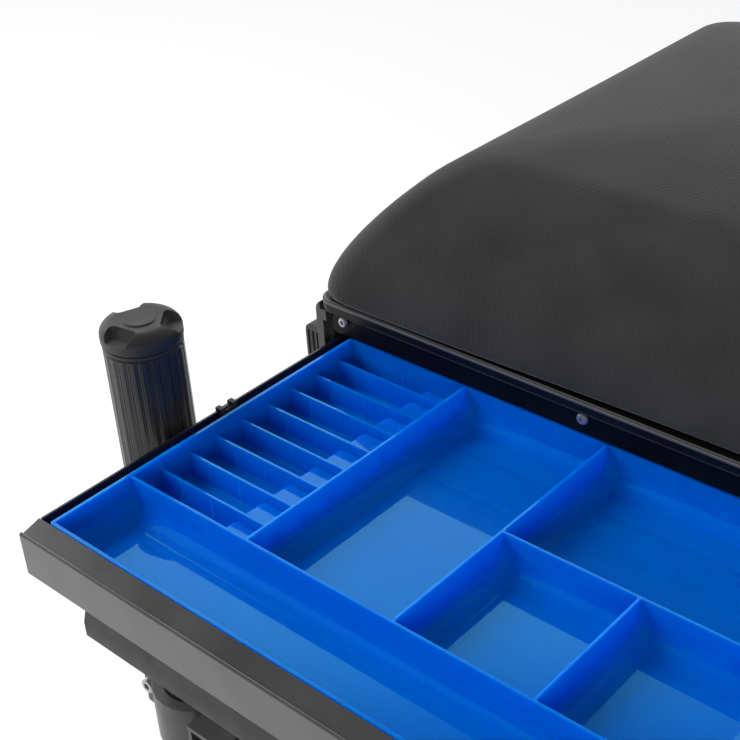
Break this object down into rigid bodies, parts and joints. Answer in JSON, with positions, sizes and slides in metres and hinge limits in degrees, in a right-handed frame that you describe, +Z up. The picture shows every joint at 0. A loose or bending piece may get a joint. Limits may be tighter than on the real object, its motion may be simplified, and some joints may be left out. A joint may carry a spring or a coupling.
{
  "type": "fishing seat box",
  "caption": "Fishing seat box on telescopic legs, with a cushioned lid, an open shallow drawer with a compartment tray, a deep drawer below and a pull-out footplate.",
  "frame": {"origin": "centre of the footprint at ground level, with the front drawer open", "axes": "+Z up, -Y to the front, where the drawers open, +X to the right seen from the front"},
  "size_m": [0.55, 0.532, 0.4238],
  "materials": {
    "moulded_grey": "satin",
    "dark_plastic": "satin",
    "tray_blue": "gloss",
    "coated_steel": "satin",
    "coated_aluminium": "satin",
    "anodised_tube": "satin",
    "bare_aluminium": "satin",
    "bright_steel": "polished",
    "rubber": "matte",
    "cushion_fabric": "woven"
  },
  "bodies": {
    "seat_box": {"chassis_frame": "coated_steel", "cabinet_side_left": "coated_aluminium", "cabinet_side_right": "coated_aluminium", "cabinet_back": "coated_aluminium", "cabinet_floor": "coated_aluminium", "cassette_side_left": "coated_aluminium", "cassette_side_right": "coated_aluminium", "cassette_back": "coated_aluminium", "lid_well_tray": "dark_plastic", "front_plate": "coated_steel", "plate_screw_outer_left": "bright_steel", "plate_screw_inner_left": "bright_steel", "plate_screw_inner_right": "bright_steel", "plate_screw_outer_right": "bright_steel", "body_hinge_leaf": "coated_steel", "hinge_pin": "bright_steel", "leg_clamp_front_left": "coated_aluminium", "leg_clamp_front_right": "coated_aluminium", "leg_clamp_rear_left": "coated_aluminium", "leg_clamp_rear_right": "coated_aluminium", "clamp_bolt_front_left": "bright_steel", "clamp_bolt_front_right": "bright_steel", "clamp_bolt_rear_left": "bright_steel", "clamp_bolt_rear_right": "bright_steel"},
    "front_drawer": {"drawer_pan": "coated_steel", "drawer_panel": "moulded_grey", "drawer_pull": "dark_plastic", "tray_insert": "tray_blue", "tray_clip_left": "dark_plastic", "tray_clip_right": "dark_plastic"},
    "deep_drawer": {"deep_drawer_box": "coated_steel", "deep_drawer_panel": "moulded_grey", "deep_drawer_pull": "dark_plastic"},
    "lid": {"lid_frame": "moulded_grey", "seat_cushion": "cushion_fabric", "lid_hinge_leaf": "coated_steel"},
    "footplate": {"footplate_deck": "dark_plastic", "footplate_bar_left": "bare_aluminium", "footplate_bar_right": "bare_aluminium"},
    "leg_front_left": {"leg_tube_front_left": "anodised_tube"},
    "cap_front_left": {"leg_cap_front_left": "moulded_grey"},
    "foot_front_left": {"inner_leg_front_left": "bare_aluminium", "leg_foot_front_left": "rubber"},
    "leg_front_right": {"leg_tube_front_right": "anodised_tube"},
    "cap_front_right": {"leg_cap_front_right": "moulded_grey"},
    "foot_front_right": {"inner_leg_front_right": "bare_aluminium", "leg_foot_front_right": "rubber"},
    "leg_rear_left": {"leg_tube_rear_left": "anodised_tube"},
    "cap_rear_left": {"leg_cap_rear_left": "moulded_grey"},
    "foot_rear_left": {"inner_leg_rear_left": "bare_aluminium", "leg_foot_rear_left": "rubber"},
    "leg_rear_right": {"leg_tube_rear_right": "anodised_tube"},
    "cap_rear_right": {"leg_cap_rear_right": "moulded_grey"},
    "foot_rear_right": {"inner_leg_rear_right": "bare_aluminium", "leg_foot_rear_right": "rubber"},
    "clip_front_left": {"clip_lever_front_left": "dark_plastic"},
    "clip_front_right": {"clip_lever_front_right": "dark_plastic"},
    "clip_rear_left": {"clip_lever_rear_left": "dark_plastic"},
    "clip_rear_right": {"clip_lever_rear_right": "dark_plastic"}
  },
  "joints": [
    {"name": "front_drawer_slide", "type": "slide", "parent": "seat_box", "child": "front_drawer", "axis": [0, -1, 0], "range_m": [-0.1768, 0]},
    {"name": "deep_drawer_slide", "type": "slide", "parent": "seat_box", "child": "deep_drawer", "axis": [0, -1, 0], "range_m": [0, 0.2]},
    {"name": "lid_hinge", "type": "hinge", "parent": "seat_box", "child": "lid", "pos_m": [0, 0.262, 0.344], "axis": [-1, 0, 0], "range_deg": [0, 100]},
    {"name": "footplate_slide", "type": "slide", "parent": "seat_box", "child": "footplate", "axis": [0, -1, 0], "range_m": [0, 0.15]},
    {"name": "leg_height_front_left", "type": "slide", "parent": "seat_box", "child": "leg_front_left", "axis": [0, 0, 1], "range_m": [-0.12, 0.03]},
    {"name": "cap_twist_front_left", "type": "hinge", "parent": "leg_front_left", "child": "cap_front_left", "pos_m": [-0.2375, -0.171, 0.36], "axis": [0, 0, 1], "range_deg": [0, 90]},
    {"name": "leg_extension_front_left", "type": "slide", "parent": "leg_front_left", "child": "foot_front_left", "axis": [0, 0, -1], "range_m": [-0.05, 0.12]},
    {"name": "leg_height_front_right", "type": "slide", "parent": "seat_box", "child": "leg_front_right", "axis": [0, 0, 1], "range_m": [-0.12, 0.03]},
    {"name": "cap_twist_front_right", "type": "hinge", "parent": "leg_front_right", "child": "cap_front_right", "pos_m": [0.2375, -0.171, 0.36], "axis": [0, 0, 1], "range_deg": [0, 90]},
    {"name": "leg_extension_front_right", "type": "slide", "parent": "leg_front_right", "child": "foot_front_right", "axis": [0, 0, -1], "range_m": [-0.05, 0.12]},
    {"name": "leg_height_rear_left", "type": "slide", "parent": "seat_box", "child": "leg_rear_left", "axis": [0, 0, 1], "range_m": [-0.1, 0.02]},
    {"name": "cap_twist_rear_left", "type": "hinge", "parent": "leg_rear_left", "child": "cap_rear_left", "pos_m": [-0.2375, 0.205, 0.36], "axis": [0, 0, 1], "range_deg": [0, 90]},
    {"name": "leg_extension_rear_left", "type": "slide", "parent": "leg_rear_left", "child": "foot_rear_left", "axis": [0, 0, -1], "range_m": [-0.008, 0.12]},
    {"name": "leg_height_rear_right", "type": "slide", "parent": "seat_box", "child": "leg_rear_right", "axis": [0, 0, 1], "range_m": [-0.1, 0.02]},
    {"name": "cap_twist_rear_right", "type": "hinge", "parent": "leg_rear_right", "child": "cap_rear_right", "pos_m": [0.2375, 0.205, 0.36], "axis": [0, 0, 1], "range_deg": [0, 90]},
    {"name": "leg_extension_rear_right", "type": "slide", "parent": "leg_rear_right", "child": "foot_rear_right", "axis": [0, 0, -1], "range_m": [-0.008, 0.12]},
    {"name": "clip_hinge_front_left", "type": "hinge", "parent": "seat_box", "child": "clip_front_left", "pos_m": [-0.2308, -0.058, 0.274], "axis": [0, -1, 0], "range_deg": [0, 75]},
    {"name": "clip_hinge_front_right", "type": "hinge", "parent": "seat_box", "child": "clip_front_right", "pos_m": [0.2308, -0.058, 0.274], "axis": [0, 1, 0], "range_deg": [0, 75]},
    {"name": "clip_hinge_rear_left", "type": "hinge", "parent": "seat_box", "child": "clip_rear_left", "pos_m": [-0.2308, 0.142, 0.274], "axis": [0, -1, 0], "range_deg": [0, 75]},
    {"name": "clip_hinge_rear_right", "type": "hinge", "parent": "seat_box", "child": "clip_rear_right", "pos_m": [0.2308, 0.142, 0.274], "axis": [0, 1, 0], "range_deg": [0, 75]}
  ]
}
